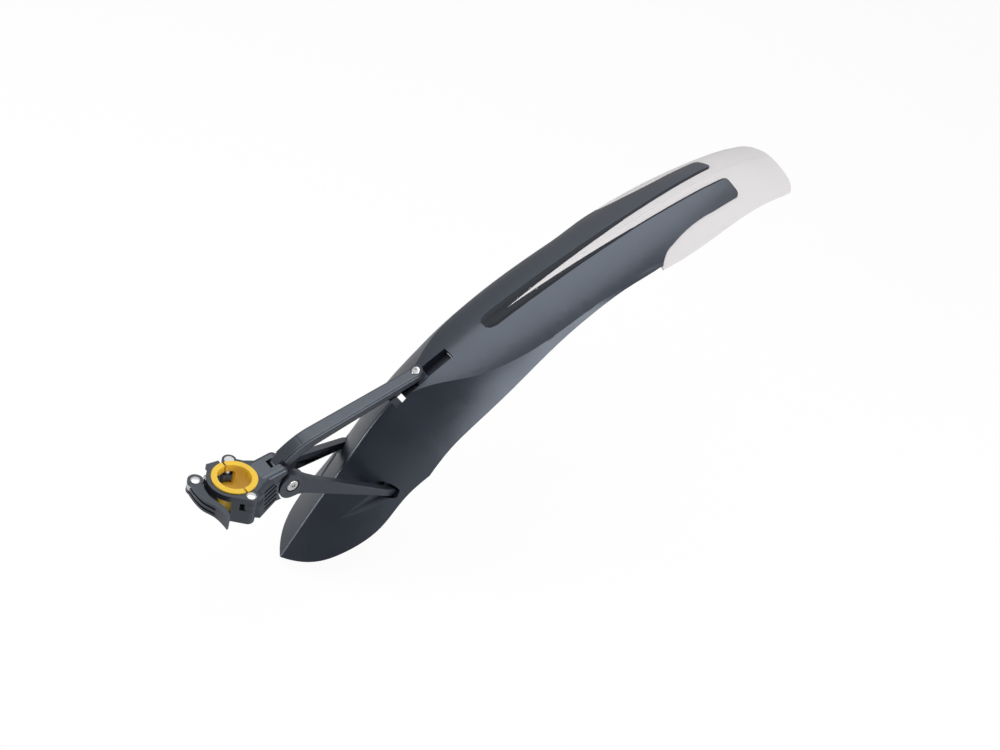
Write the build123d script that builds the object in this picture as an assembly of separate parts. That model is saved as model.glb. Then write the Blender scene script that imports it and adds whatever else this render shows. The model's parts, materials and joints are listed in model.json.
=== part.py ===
from build123d import *
import os
from collections import namedtuple
from math import asin, atan2, cos, degrees, radians, sin, sqrt

# A clip-on rear mudguard. Z is the seatpost axis, the origin is the middle of the clamp, X points to the tail
# and -Y is the rider's left. Lengths are millimetres and angles are degrees.

# Seatpost, shims and clamp ring
post_radius = 13.6
shim_wall = 2.8
shim_lip = 1.9
lip_height = 1.2
shim_gap = 1.8
clamp_wall = 5.6
clamp_height = 25.6
split_gap = 3.0
notch_width = 17.0
notch_low = -7.5
notch_high = 7.2

# Hinge of the jaw, barrel of the swing bolt and lever
hinge_x = 2.0
hinge_y = -22.4
barrel_x = 7.0
barrel_y = 20.0
pin_radius = 4.0
ear_radius = 5.8
bolt_level = 4.0
fork_gap = 7.0
bolt_radius = 2.5
eye_radius = 6.0
eye_height = 4.8
lever_x = -26.7
lever_y = 12.8
lever_height = 11.4
lever_pin_radius = 3.9
cam_radius = 6.3
groove_depth = 1.5
groove_height = 1.9
window_low = -8.0
window_turn = 220.7
window_radius = 20.9
window_depth = 14.0
window_width = 12.0
toe_x = -7.0
toe_y = 18.9
toe_length = 11.0
toe_depth = 7.0
ear_turn = 240.0
fork_side = 6.6
fork_rear = 5.0
knuckle_swing = 3.4
barrel_swing = 2.6
ear_gap = 1.4
swing_side = 6.0
swing_width = 30.0
bolt_tail = 2.2
lever_outer = [(-32.6, 11.3), (-33.0, -1.6), (-31.2, -11.0), (-27.4, -18.5), (-25.7, -25.3), (-25.3, -35.1)]
lever_inner = [(-23.5, -34.4), (-20.9, -26.0), (-21.8, -18.8), (-25.2, -9.3), (-25.5, -1.1), (-23.4, 6.2)]
groove_offset = 1.4

# Bracket behind the clamp
flank_front_x = 12.0
flank_front_y = 19.6
flank_rear_x = 32.0
flank_rear_y = 10.6
flank_lean = 0.27
flank_top = 10.0
flank_end_x = 38.0
shoulder_x = 4.5
shoulder_y = 21.0
tail_rise = 2.6
tongue_half = 7.0
rib_count = 5
rib_pitch = 3.5
rib_depth = 1.6
rib_height = 1.5
rib_top = 5.6
rib_front_x = 17.6
rib_rear_x = 33.0
web_x = 11.0
web_y = -20.0
web_radius = 4.0

# Pivots of the struts and of the arm
strut_pivot_x = 48.3
strut_pivot_z = -2.1
arm_pivot_x = 38.5
arm_pivot_z = 12.5
knuckle_radius = 5.2
knuckle_half = 4.0
arm_pin_radius = 2.0
cheek_radius = 5.4
cheek_root_x = 19.6
cheek_root_depth = 1.0
deck_half = 12.2
deck_round = 4.0
knuckle_clear = 3.0
boss_clear = 1.2

# Struts
boss_radius = 12.5
boss_width = 7.0
strut_depth = 14.5
strut_end_depth = 7.2
strut_end_width = 6.4
strut_end_x = 140.1
strut_end_y = 32.6
strut_end_z = -26.0
strut_skin = 3.4
strut_rim = 2.4
strut_web = 2.0
strut_cells = 4
pocket_front = 20.0
pocket_rear = 24.0
neck_top_x = 15.0
neck_top_z = 4.2
neck_low_x = 13.0
neck_low_z = -11.0
strut_bend = 7.5
strut_straight = 7.0
screw_inner = 2.0
head_clear = 0.8
screw_radius = 2.5
head_radius = 5.3
head_height = 2.4
strut_pin_radius = 2.0
pin_play = 0.7
strut_cap = 1.4

# Arm
elbow_x = 57.5
elbow_z = 29.7
arm_root_width = 14.0
arm_end_width = 11.6
arm_root_depth = 10.6
arm_end_depth = 8.4
arm_end_lift = 6.8
arm_root_gap = 1.6
arm_straight = 6.0
arm_seat_gap = 0.4
arm_round = 2.4

# Slide of the arm along the slot of the blade
slot_front = 169.5
slot_rear = 234.0
slot_width = 12.0
rail_wall = 2.4
rail_depth = 9.0
ledge_length = 7.0
ledge_depth = 5.0
shoe_length = 10.0
shoe_foot = 2.6
shoe_overlap = 1.4
foot_front = 20.0
foot_rear = 32.0
slide_bolt_radius = 2.0
slide_head_radius = 3.7
slide_head_height = 1.4
nut_width = 7.0
nut_height = 3.2
bolt_stub = 1.0

# Blade: its ridge line in the middle plane, from the tip of the nose
nose_tip_x = 65.0
nose_tip_z = -104.0
nose_slope = 63.0
nose_run = 132.0
bend_radius = 150.0
bend_end_slope = 36.0
body_radius = 1110.0
body_end_slope = 20.5
tip_radius = 380.0
tip_slope = 1.4
blade_wall = 3.0
nose_edge = [(-25, -9), (-4, -3.4), (16, 6.2), (37, 21.2), (65.5, 47.5), (84, 75.5), (104, 100), (134, 131)]
crown_radius = 64.0
flank_radius = 150.0

# Blade: the fingers, the channel between them and the tail
lap_depth = 1.2
bond = 0.05
finger_root = 437.0
finger_end = 549.0
finger_inner = 11.2
finger_tip_half = 29.4
finger_side = [(484.0, 32.2), (514.0, 31.0)]
finger_hook = [(437.0, 48.4), (446.0, 40.9), (458.0, 36.9)]
finger_corner = 5.0
finger_overlap = 4.0
channel_front = 272.0
channel_half = 8.4
channel_slope = 2.4
channel_rise = 1.5
channel_floor_share = 0.6
channel_lip_share = 0.15
channel_nib = [(0.0, 0.4, 0.12, 0.6), (3.0, 0.8, 0.45, 1.0)]
channel_nib_length = 9.0
channel_step = 20.0
channel_overrun = 12.0
tongue_tip = 298.0
tongue_root_half = 6.4
tongue_overlap = 6.0
tail_end = 617.4
tail_bow = 0.4
tail_corner = 12.0
tail_flare = 1.6
tail_spread = 14.0

# Strut holes of the blade
hole_radius = 7.0
hole_reach = 30.0
hole_clear = 1.6
pocket_wall = 2.2
gutter_tip = (56.0, 19.2)
gutter_upper = (92.0, 26.5)
gutter_lower = (101.0, 38.8)
gutter_depth = 3.6
gutter_lift = 0.7
gutter_wall = 1.8

# Fits
fit = 0.05
play = 0.3

# Reach of cutting tools past the object
beyond = 80.0

seat_radius = post_radius + shim_wall
clamp_radius = seat_radius + clamp_wall
clamp_top = clamp_height / 2
fork_low = bolt_level - fork_gap / 2
fork_high = bolt_level + fork_gap / 2


def drum(radius, low, high, x=0, y=0):
    return Pos(x, y, (low + high) / 2) * Cylinder(radius, high - low)


def plate(points, low, high):
    return Pos(0, 0, low) * extrude(make_face(Polyline(*points, close=True)), high - low)


def side_plate(sketch, low, high):
    return Pos(0, low, 0) * extrude(Plane.XZ * sketch, low - high)


def axle(radius, x, z, low, high):
    return Pos(x, (low + high) / 2, z) * Rot(90, 0, 0) * Cylinder(radius, high - low)


def polygon(*points):
    return make_face(Polyline(*points, close=True))


# The ridge line: a straight nose, then tangent arcs of falling slope
Run = namedtuple("Run", "length slope radius")


def arc_run(radius, start_slope, end_slope):
    return Run(radius * radians(start_slope - end_slope), start_slope, radius)


ridge_runs = [
    Run(nose_run, nose_slope, 0),
    arc_run(bend_radius, nose_slope, bend_end_slope),
    arc_run(body_radius, bend_end_slope, body_end_slope),
    arc_run(tip_radius, body_end_slope, tip_slope),
]
blade_length = sum(run.length for run in ridge_runs)


# Place and slope of the ridge line at a distance from the tip of the nose
def ridge(at):
    x, z = nose_tip_x, nose_tip_z
    for run in ridge_runs:
        step = at if run is ridge_runs[0] and at < run.length else min(at, run.length)
        if run.radius == 0:
            slope = run.slope
            x += step * cos(radians(slope))
            z += step * sin(radians(slope))
        else:
            slope = run.slope - degrees(step / run.radius)
            x += run.radius * (sin(radians(run.slope)) - sin(radians(slope)))
            z += run.radius * (cos(radians(slope)) - cos(radians(run.slope)))
        at -= step
        if at <= 0:
            break
    return x, z, slope


def ridge_point(at):
    x, z, slope = ridge(at)
    return Vector(x, 0, z)


def skin_plane(at):
    x, z, slope = ridge(at)
    return Plane(origin=(x, 0, z), x_dir=(0, 1, 0), z_dir=(cos(radians(slope)), 0, sin(radians(slope))))


# Cross sections of the blade: half width and drop of the crease, then of the outer edge
Section = namedtuple("Section", "at crease drop edge fall")
joint_section = Section(166, 2.9, 1.2, 47.2, 44.5)
body_sections = [
    Section(-14, 2.2, 0.9, 50.0, 30.0),
    Section(36, 2.2, 0.9, 50.0, 36.8),
    Section(72, 2.2, 0.9, 50.0, 45.0),
    Section(108, 2.2, 0.9, 48.0, 46.9),
    Section(144, 2.3, 1.0, 47.2, 46.0),
    joint_section,
    Section(184, 5.4, 1.6, 47.3, 43.0),
    Section(204, 12.6, 2.9, 47.8, 40.8),
    Section(235, 28.3, 8.9, 48.7, 36.0),
    Section(264, 36.6, 13.8, 48.5, 31.4),
    Section(290, 40.2, 16.4, 47.0, 28.0),
    Section(325, 41.8, 17.3, 44.9, 24.4),
    Section(361, 41.7, 17.2, 44.0, 21.6),
    Section(397, 41.7, 17.2, 44.3, 19.9),
    Section(finger_root, 43.6, 18.4, 45.8, 19.9),
]
tail_sections = [
    Section(finger_root, 43.6, 18.4, 48.8, 22.0),
    Section(469, 44.4, 19.1, 49.7, 23.1),
    Section(505, 43.8, 19.6, 48.0, 22.8),
    Section(541, 41.6, 18.6, 45.2, 21.4),
    Section(577, 39.8, 17.3, 43.2, 19.8),
    Section(blade_length, 37.4, 15.6, 40.6, 17.9),
]
finger_sections = [body_sections[-1]] + tail_sections[1:-1]
all_sections = body_sections + tail_sections[1:]


def inward(start, end):
    along = (end - start).normalized()
    return Vector(along.Y, -along.X)


def bowed(start, end, radius):
    chord = end - start
    return (start + end) * 0.5 - inward(start, end) * (chord.length ** 2 / (8 * radius))


# Right half of a section at a depth below the outer skin: ridge, crease and edge, with a point on each bow between
def half_section(section, depth):
    ridge_top = Vector(0, 0)
    crease = Vector(section.crease, -section.drop)
    edge = Vector(section.edge, -section.fall)
    top_normal = inward(ridge_top, crease)
    side_normal = inward(crease, edge)
    mitre = (top_normal + side_normal).normalized()
    ridge_in = Vector(0, depth / top_normal.Y)
    crease_in = crease + mitre * (depth / mitre.dot(side_normal))
    edge_in = edge + side_normal * depth
    top_bow = bowed(ridge_in, crease_in, crown_radius)
    side_bow = bowed(crease_in, edge_in, flank_radius)
    return [ridge_in, top_bow, crease_in, side_bow, edge_in]


def mirrored(point):
    return Vector(-point.X, point.Y)


# Edges from the left edge over the ridge to the right edge
def skin_edges(section, depth):
    plane = skin_plane(section.at)
    half = half_section(section, depth)
    across = [mirrored(point) for point in reversed(half[1:])] + half
    placed = [plane.from_local_coords(point) for point in across]
    return [ThreePointArc(*placed[i:i + 3]) for i in range(0, len(placed) - 1, 2)]


def shell_wire(section, outer_depth, inner_depth):
    outer = skin_edges(section, outer_depth)
    inner = skin_edges(section, inner_depth)
    right = Line(outer[-1] @ 1, inner[-1] @ 1)
    left = Line(inner[0] @ 0, outer[0] @ 0)
    return Wire(outer + [right] + inner + [left])


def shell(sections, outer_depth, inner_depth):
    return Part() + Solid.make_loft([shell_wire(section, outer_depth, inner_depth) for section in sections])


# Everything below the skin, to trim what is moulded on its underside
under_depth = 0.8
under_fall = 80.0
under_front = 72.0
under_rear = 290.0


def under_wire(section):
    plane = skin_plane(section.at)
    outer = skin_edges(section, under_depth)
    low_right = plane.from_local_coords((section.edge, -under_fall))
    low_left = plane.from_local_coords((-section.edge, -under_fall))
    right = Line(outer[-1] @ 1, low_right)
    floor = Line(low_right, low_left)
    left = Line(low_left, outer[0] @ 0)
    return Wire(outer + [right, floor, left])


def under_skin(sections):
    return Part() + Solid.make_loft([under_wire(section) for section in sections])


# Section between two stations, and a point of the outer skin
def section_at(at):
    after = next(section for section in all_sections if section.at >= at)
    before = all_sections[max(all_sections.index(after) - 1, 0)]
    span = after.at - before.at
    share = (at - before.at) / span if span else 0
    return Section(*(low + (high - low) * share for low, high in zip(before, after)))


def arc_drop(start, end, radius, half):
    middle = bowed(start, end, radius)
    sagitta = (middle - (start + end) * 0.5).length
    true_radius = (end - start).length ** 2 / (8 * sagitta) + sagitta / 2
    centre = middle + inward(start, end) * true_radius
    return -centre.Y - sqrt(true_radius ** 2 - (half - centre.X) ** 2)


def skin_drop(at, half):
    section = section_at(at)
    crease = Vector(section.crease, -section.drop)
    if half < section.crease:
        return arc_drop(Vector(0, 0), crease, crown_radius, half)
    return arc_drop(crease, Vector(section.edge, -section.fall), flank_radius, half)


def skin_point(at, half, depth=0):
    return skin_plane(at).from_local_coords((half, -skin_drop(at, abs(half)) - depth))


# Flat outlines over the rear of the blade are drawn on the plane through its chord
tail_start = ridge_point(channel_front)
tail_chord = ridge_point(blade_length) - tail_start
tail_plane = Plane(origin=tail_start, x_dir=tail_chord, z_dir=Vector(-tail_chord.Z, 0, tail_chord.X))


def tail_spot(at, half):
    return (tail_plane.to_local_coords(ridge_point(at)).X, half)


def tail_prism(sketch):
    return extrude(tail_plane * sketch, beyond, both=True)


def both_sides(shape):
    return shape + mirror(shape, Plane.XZ)


# The slide runs along the chord of the slot
slot_start = ridge_point(slot_front)
slot_end = ridge_point(slot_rear)
slot_chord = slot_end - slot_start
slot_length = slot_chord.length
slot_way = slot_chord.normalized()
slide_plane = Plane(
    origin=(slot_start + slot_end) * 0.5,
    x_dir=slot_chord,
    z_dir=Vector(-slot_chord.Z, 0, slot_chord.X),
)
slot_crown = slide_plane.to_local_coords(ridge_point((slot_front + slot_rear) / 2)).Z
rail_low = -rail_depth
strut_end = Vector(strut_end_x, strut_end_y, strut_end_z)
strut_start = Vector(strut_pivot_x, tongue_half + play + boss_width / 2, strut_pivot_z)
strut_way = (strut_end - strut_start).normalized()


def slide_box(length, width, low, high):
    return slide_plane * Pos(0, 0, (low + high) / 2) * Box(length, width, high - low)


def slide_drum(radius, low, high):
    return slide_plane * Pos(0, 0, (low + high) / 2) * Cylinder(radius, high - low)


# Spoon-shaped lower edge of the nose, seen from the side
def nose_trim():
    edge = Spline(*[(nose_tip_x + along, nose_tip_z + up) for along, up in nose_edge])
    rest = Polyline(edge @ 1, (edge @ 1 + Vector(beyond, -beyond)), (nose_tip_x, nose_tip_z - beyond), edge @ 0)
    return side_plate(make_face([edge, rest]), -beyond, beyond)


# Sloping-walled channel between the fingers: half widths of its mouth and floor, and its depth, along the ridge
Station = namedtuple("Station", "at mouth floor depth")
channel_stations = [
    Station(channel_front + channel_nib_length, channel_half, channel_half * channel_floor_share, lap_depth),
    Station(tongue_tip, channel_half, channel_half * channel_floor_share, lap_depth),
    Station(finger_root, tongue_root_half + channel_slope, tongue_root_half, lap_depth),
    Station(finger_end + channel_overrun, finger_inner, finger_inner - channel_slope, lap_depth),
]
nib_stations = [
    Station(channel_front + along, channel_half * mouth, channel_half * floor, lap_depth * depth)
    for along, mouth, floor, depth in channel_nib
]


def stations_between(start, end):
    count = max(1, round((end.at - start.at) / channel_step))
    return [Station(*(low + (high - low) * i / count for low, high in zip(start, end))) for i in range(count)]


def channel_wire(station):
    plane = skin_plane(station.at)
    mouth_drop = skin_drop(station.at, station.mouth)
    floor_drop = skin_drop(station.at, station.floor) + station.depth
    lip = station.mouth + (station.mouth - station.floor) * channel_lip_share
    lip_drop = mouth_drop - (floor_drop - mouth_drop) * channel_lip_share
    half = [(station.floor, -floor_drop), (lip, -lip_drop), (lip, channel_rise)]
    other = [(-across, up) for across, up in reversed(half)]
    spots = [(0, -station.depth)] + half + other
    return Wire(Polyline(*[plane.from_local_coords(spot) for spot in spots], close=True).edges())


def channel_cutter():
    stations = []
    for start, end in zip(channel_stations, channel_stations[1:]):
        stations += stations_between(start, end)
    stations = nib_stations + stations + channel_stations[-1:]
    return Part() + Solid.make_loft([channel_wire(station) for station in stations], ruled=True)


def tongue_prism(gap):
    tip_gap = gap * (finger_root - tongue_tip) / tongue_root_half
    tip = tail_spot(tongue_tip - tip_gap, 0)
    left = tail_spot(finger_root + tongue_overlap, tongue_root_half + gap)
    return tail_prism(polygon(tip, left, (left[0], -left[1])))


def finger_prism():
    root = tail_spot(finger_root - finger_overlap, tongue_root_half)
    inner_tip = tail_spot(finger_end, finger_inner - channel_slope)
    outer_tip = tail_spot(finger_end, finger_tip_half)
    hook = [tail_spot(*spot) for spot in finger_hook]
    side = [tail_spot(*spot) for spot in finger_side]
    back = tail_spot(finger_root - finger_overlap, finger_hook[0][1])
    outline = [
        Polyline(side[-1], outer_tip, inner_tip, root, back, hook[0]),
        ThreePointArc(*hook),
        ThreePointArc(hook[-1], *side),
    ]
    face = make_face(outline)
    tips = face.vertices().sort_by(Axis.X)[-2:]
    return tail_prism(fillet(tips, finger_corner))


def tail_prism_end():
    end_x = tail_spot(tail_end, 0)[0] - tail_bow
    start_x = tail_spot(finger_root - finger_overlap, 0)[0]
    half = tail_sections[-1].edge
    flare_x = end_x - 2 * tail_corner
    side = [(end_x, half), (flare_x, half + tail_flare), (start_x, half + tail_spread)]
    other = [(along, -across) for along, across in reversed(side)]
    face = make_face([ThreePointArc(other[-1], (end_x + tail_bow, 0), side[0]), Polyline(*side, *other)])
    tips = face.vertices().sort_by(Axis.X)[-2:]
    return tail_prism(fillet(tips, tail_corner))


# Blind pocket in the skin round the end of the strut; grown by a wall it is also the cup moulded behind it
def strut_hole(grow):
    start = strut_end - strut_way * hole_reach
    length = hole_reach + strut_end_depth / 2 + hole_clear + grow
    return Part() + Solid.make_cylinder(hole_radius + grow, length, Plane(start, z_dir=strut_way))


# Flat inner wall of the pocket, which carries the pin of the strut
def pocket_cheek():
    high = strut_end_y - strut_end_width / 2 - play
    low = high - pocket_wall
    front = strut_end_x - strut_pin_radius - pocket_wall
    slab = Pos(front + beyond / 2, (low + high) / 2, strut_end_z) * Box(beyond, high - low, beyond)
    return slab & strut_hole(pocket_wall)


# Tapering groove of V section from the strut hole down the nose; grown by a wall it is also its moulded backing
def gutter(grow):
    tip = skin_point(*gutter_tip, -gutter_lift)
    upper = skin_point(*gutter_upper)
    lower = skin_point(*gutter_lower)
    middle = (upper + lower) * 0.5
    along = (middle - tip).normalized()
    across = (upper - lower).normalized()
    inside = along.cross(across).normalized()
    if inside.Y > 0:
        inside = inside * -1
    valley = middle + inside * (gutter_depth + grow)
    corners = [
        upper + (upper - valley) + across * grow,
        valley,
        lower + (lower - valley) - across * grow,
    ]
    apex = tip - along * (2 * grow)
    faces = [Face(Wire(Polyline(*corners, close=True).edges()))]
    for i in range(3):
        side = Polyline(corners[i], corners[(i + 1) % 3], apex, close=True)
        faces.append(Face(Wire(side.edges())))
    return Part() + Solid(Shell(faces))


def rail_frame():
    length = slot_length + 2 * rail_wall
    return slide_box(length, slot_width + 2 * rail_wall, rail_low, slot_crown)


# The nose and the body are lofted apart and meet at a shared section
def blade_skin():
    joint = body_sections.index(joint_section)
    nose = shell(body_sections[:joint + 1], 0, blade_wall) - nose_trim()
    return nose + shell(body_sections[joint:], 0, blade_wall)


def under_blade():
    nose = [section for section in body_sections if under_front <= section.at <= joint_section.at]
    rear = [section for section in body_sections if joint_section.at <= section.at <= under_rear]
    return under_skin(nose) + under_skin(rear)


def guard_base():
    body = blade_skin()
    under = under_blade()
    body += rail_frame() & under
    body += both_sides((gutter(gutter_wall) + strut_hole(pocket_wall)) & under)
    body -= slide_box(slot_length, slot_width, -ledge_depth, slot_crown + beyond)
    body -= Pos(slot_way * ledge_length / 2) * slide_box(slot_length - ledge_length, slot_width, -beyond, slot_crown)
    body -= both_sides(gutter(0))
    body -= both_sides(strut_hole(0))
    body += both_sides(pocket_cheek() & under)
    body -= both_sides(axle(strut_pin_radius, strut_end_x, strut_end_z, 0, strut_end_y))
    fingers = shell(finger_sections, 0, lap_depth) & both_sides(finger_prism())
    channel = channel_cutter()
    body -= channel
    body -= tongue_prism(bond)
    return body + (fingers - channel)


def guard_tail():
    rear = shell(tail_sections, lap_depth + bond, blade_wall) & tail_prism_end()
    tongue_sections = [section for section in body_sections if channel_front <= section.at < finger_root]
    tongue = shell(tongue_sections + tail_sections[:1], lap_depth + bond, blade_wall) & tongue_prism(0)
    return rear + tongue


def half_ring(outer, inner, low, high, front, gap):
    ring = drum(outer, low, high) - drum(inner, low, high)
    side = -1 if front else 1
    return ring & Pos(side * (beyond + gap) / 2, 0, 0) * Box(beyond, 2 * beyond, 2 * beyond)


# Plate round two discs
def link(first, first_radius, second, second_radius, low, high):
    discs = Pos(*first) * Circle(first_radius) + Pos(*second) * Circle(second_radius)
    return Pos(0, 0, low) * extrude(make_hull(discs.edges()), high - low)


def shim(front):
    top = clamp_top + lip_height
    body = half_ring(seat_radius, post_radius, -top, top, front, shim_gap)
    for low in (-top, clamp_top):
        body += half_ring(seat_radius + shim_lip, post_radius, low, low + lip_height, front, shim_gap)
    notch_mid = (notch_low + notch_high) / 2
    return body - Pos(0, seat_radius, notch_mid) * Box(notch_width, seat_radius, notch_high - notch_low)


def clamp_jaw():
    seat = drum(seat_radius, -beyond, beyond)
    body = half_ring(clamp_radius, seat_radius, -clamp_top, clamp_top, True, split_gap)
    toe = Pos(toe_x, toe_y, 0) * Box(toe_length, toe_depth, clamp_height)
    body += toe - seat - drum(cam_radius + play, -beyond, beyond, lever_x, lever_y)
    wall_middle = (seat_radius + clamp_radius) / 2
    root = (wall_middle * cos(radians(ear_turn)), wall_middle * sin(radians(ear_turn)))
    ear = link((hinge_x, hinge_y), ear_radius, root, clamp_wall / 2, -clamp_top, clamp_top)
    body += ear - drum(seat_radius + ear_gap, -beyond, beyond)
    fork = Pos(0, 0, bolt_level) * Box(2 * beyond, 2 * beyond, fork_gap)
    far_side = Pos(fork_rear - beyond / 2, fork_side + beyond / 2, 0) * Box(beyond, beyond, 2 * beyond)
    body -= fork & far_side
    body -= fork & drum(ear_radius + knuckle_swing, -beyond, beyond, hinge_x, hinge_y)
    window = Pos(window_radius, 0, (window_low + fork_high) / 2) * Box(window_depth, window_width, fork_high - window_low)
    body -= Rot(0, 0, window_turn) * window
    return body - drum(pin_radius + fit, -beyond, beyond, hinge_x, hinge_y)


def jaw_pin():
    return drum(pin_radius, -clamp_top, clamp_top, hinge_x, hinge_y)


def bolt_barrel():
    return drum(pin_radius, -clamp_top, clamp_top, barrel_x, barrel_y) - bolt_shank()


def bolt_shank():
    start = Vector(barrel_x, barrel_y, bolt_level)
    end = Vector(lever_x, lever_y, bolt_level)
    way = (end - start).normalized()
    back = start - way * (pin_radius + bolt_tail)
    length = (end - back).length - lever_pin_radius
    return Part() + Solid.make_cylinder(bolt_radius, length, Plane(back, z_dir=way))


def swing_bolt():
    eye = drum(eye_radius, bolt_level - eye_height / 2, bolt_level + eye_height / 2, lever_x, lever_y)
    return bolt_shank() + eye - drum(lever_pin_radius + fit, -beyond, beyond, lever_x, lever_y)


def lever_pin():
    low = bolt_level - lever_height / 2
    return drum(lever_pin_radius, low, low + lever_height, lever_x, lever_y)


def lever():
    low = bolt_level - lever_height / 2
    outer = Spline(*lever_outer)
    inner = Spline(*lever_inner)
    outline = make_face([outer, Line(outer @ 1, inner @ 0), inner, Line(inner @ 1, outer @ 0)])
    body = Pos(0, 0, low) * extrude(outline, lever_height)
    body += drum(cam_radius, low, low + lever_height, lever_x, lever_y)
    half_plane = Pos(lever_x + beyond / 2, lever_y - beyond / 2) * Rectangle(beyond, beyond)
    skin = outline - Pos(groove_depth, 0) * outline - half_plane
    for level in (bolt_level + groove_offset, bolt_level - groove_offset - groove_height):
        body -= Pos(0, 0, level) * extrude(skin, groove_height)
    slot_half = eye_height / 2 + play
    slot = drum(eye_radius + play, bolt_level - slot_half, bolt_level + slot_half, lever_x, lever_y)
    mouth = beyond / 2
    slot += Pos(lever_x, lever_y + mouth / 2 - bolt_radius - play, bolt_level) * Box(beyond, mouth, 2 * slot_half)
    body -= slot
    return body - drum(lever_pin_radius, -beyond, beyond, lever_x, lever_y)


# Tapering block between the ring and the pivots: its flanks lean out towards the bottom and its top is bevelled
def flank_wire(level, inset):
    lean = (flank_top - level) * flank_lean
    bevel = max(level - flank_top, 0) + inset
    side = [
        (shoulder_x, shoulder_y - bevel),
        (flank_front_x, flank_front_y + max(lean, 0) - bevel),
        (flank_rear_x, flank_rear_y + max(lean, 0) - bevel),
        (flank_end_x, flank_rear_y + max(lean, 0) - bevel),
    ]
    spots = side + [(x, -y) for x, y in reversed(side)]
    return Wire(Polyline(*[(x, y, level) for x, y in spots], close=True).edges())


def flank_block(inset):
    wires = [flank_wire(level, inset) for level in (-clamp_top, flank_top, clamp_top)]
    return Part() + Solid.make_loft(wires, ruled=True)


# Deck that climbs from the ring to the pivot of the arm, with rounded rims
def deck():
    crest = Vector(arm_pivot_x, arm_pivot_z)
    touches = []
    for root, side in ((Vector(cheek_root_x, clamp_top), 1), (Vector(cheek_root_x, -clamp_top), -1)):
        reach = crest - root
        turn = atan2(reach.Y, reach.X) + side * asin(cheek_radius / reach.length)
        touches.append(crest + Vector(-sin(turn), cos(turn)) * (side * cheek_radius))
    rest = Polyline(touches[1], (cheek_root_x, -clamp_top), (cheek_root_x, clamp_top), touches[0])
    face = make_face([rest, ThreePointArc(touches[0], crest + Vector(cheek_radius, 0), touches[1])])
    body = side_plate(face, -deck_half, deck_half)
    rims = body.edges().filter_by(lambda edge: abs(edge.center().Y) > tongue_half and edge.center().X > cheek_root_x)
    return fillet(rims, deck_round)


def bracket():
    seat = drum(seat_radius, -beyond, beyond)
    body = half_ring(clamp_radius, seat_radius, -clamp_top, clamp_top, False, split_gap)
    slope = polygon(
        (flank_front_x, -clamp_top), (flank_end_x, -clamp_top + tail_rise),
        (flank_end_x, -beyond), (flank_front_x, -beyond),
    )
    body += flank_block(0) - flank_grooves() - side_plate(slope, -beyond, beyond) - seat
    body += deck()
    clear = axle(boss_radius + boss_clear, strut_pivot_x, strut_pivot_z, tongue_half, beyond)
    body -= both_sides(clear)
    tongue = Pos(arm_pivot_x, arm_pivot_z) * Circle(cheek_radius)
    tongue += Pos(strut_pivot_x, strut_pivot_z) * Circle(cheek_radius)
    tongue += Pos(cheek_root_x, 0) * Rectangle(cheek_root_depth, clamp_height)
    body += side_plate(make_hull(tongue.edges()), -tongue_half, tongue_half)
    slot_front_x = arm_pivot_x - knuckle_radius - knuckle_clear
    slot_floor = arm_pivot_z - knuckle_radius - play
    slot = polygon((slot_front_x, slot_floor), (beyond, slot_floor), (beyond, beyond), (slot_front_x, beyond))
    body -= side_plate(slot, -knuckle_half - play, knuckle_half + play)
    for low, high in ((fork_high - play, beyond), (-beyond, fork_low + play)):
        body -= drum(ear_radius + play, low, high, hinge_x, hinge_y)
    knuckle = link((hinge_x, hinge_y), ear_radius, (web_x, web_y), web_radius, fork_low + play, fork_high - play)
    body += knuckle - drum(seat_radius + ear_gap, -beyond, beyond)
    body += drum(ear_radius, -clamp_top, clamp_top, barrel_x, barrel_y) - seat
    swing = Pos(barrel_x - beyond / 2, barrel_y + swing_side, bolt_level) * Box(beyond, swing_width, fork_gap)
    body -= swing + drum(ear_radius + barrel_swing, fork_low, fork_high, barrel_x, barrel_y)
    body -= drum(pin_radius, -beyond, beyond, hinge_x, hinge_y)
    body -= drum(pin_radius + fit, -beyond, beyond, barrel_x, barrel_y)
    body -= axle(arm_pin_radius, arm_pivot_x, arm_pivot_z, -tongue_half, beyond)
    return body - axle(screw_radius, strut_pivot_x, strut_pivot_z, -beyond, beyond)


# Level grooves down the flanks of the bracket
def flank_grooves():
    length = rib_rear_x - rib_front_x
    slabs = []
    for i in range(rib_count):
        slab = Box(length, 2 * beyond, rib_height)
        slabs.append(Pos((rib_front_x + rib_rear_x) / 2, 0, rib_top - i * rib_pitch) * slab)
    return Part() + slabs - flank_block(rib_depth)


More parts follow.
